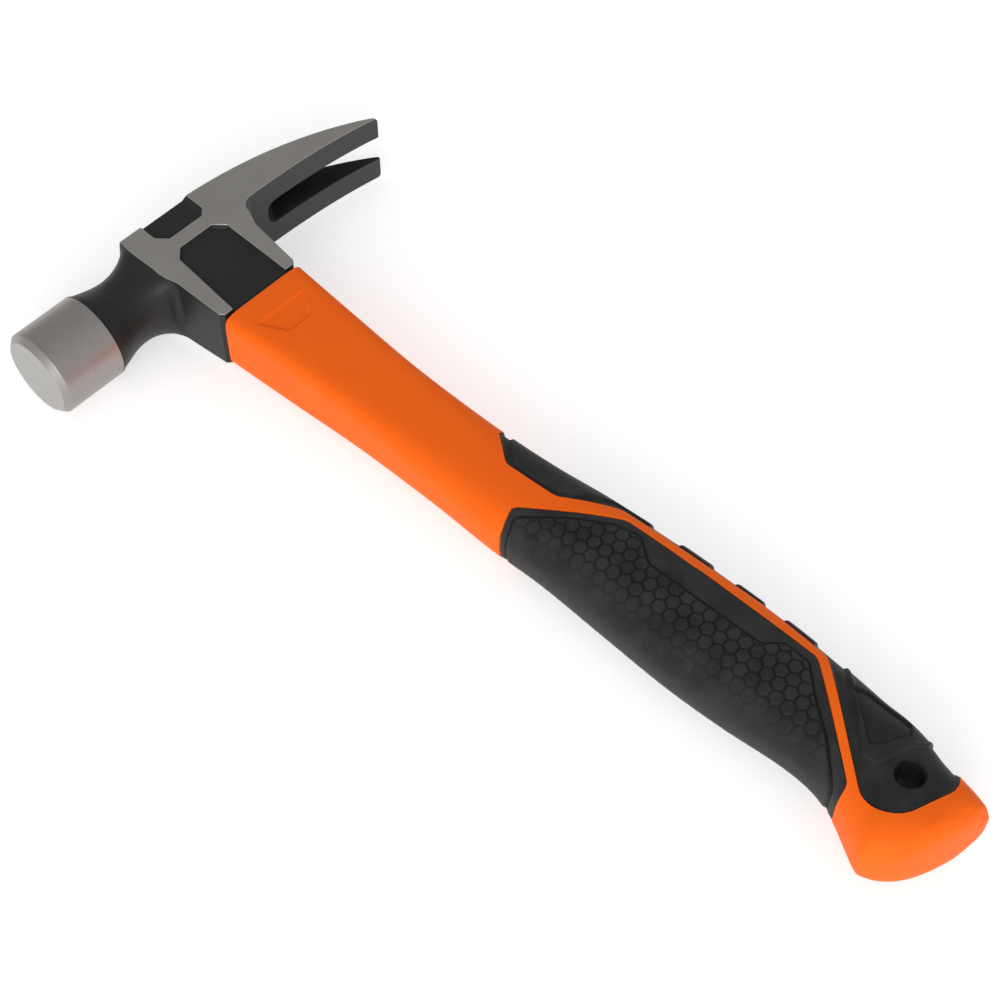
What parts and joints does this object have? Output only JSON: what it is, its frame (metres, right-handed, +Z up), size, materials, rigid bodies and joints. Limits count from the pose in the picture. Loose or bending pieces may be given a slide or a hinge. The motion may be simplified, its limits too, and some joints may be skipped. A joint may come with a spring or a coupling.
{
  "type": "claw hammer",
  "caption": "Straight-claw carpenter's hammer: forged steel head with round poll and nail slot, epoxied on a fibreglass-cored moulded handle with soft rubber grips and a hanging hole.",
  "frame": {"origin": "middle of the lowest plane of the hammer's box as it lies on its side", "axes": "+X from the striking face to the claw tips, +Y from the butt to the top of the head, +Z up out of the upper cheek"},
  "size_m": [0.1446, 0.323, 0.0295],
  "materials": {
    "forged_steel": "turned bright poll, satin ground cheeks and claws, satin black coating on the neck and recesses",
    "fibreglass": "pultruded glass-fibre rod, hidden inside the handle",
    "epoxy": "cast black epoxy",
    "orange_plastic": "moulded orange polypropylene with a soft sheen",
    "grip_rubber": "matte black thermoplastic rubber, fine grained, with a honeycomb relief"
  },
  "bodies": {
    "root": {"head": "forged_steel", "fibreglass_core": "fibreglass", "eye_epoxy": "epoxy", "handle_jacket": "orange_plastic", "front_grip": "grip_rubber", "rear_grip": "grip_rubber"}
  },
  "joints": []
}
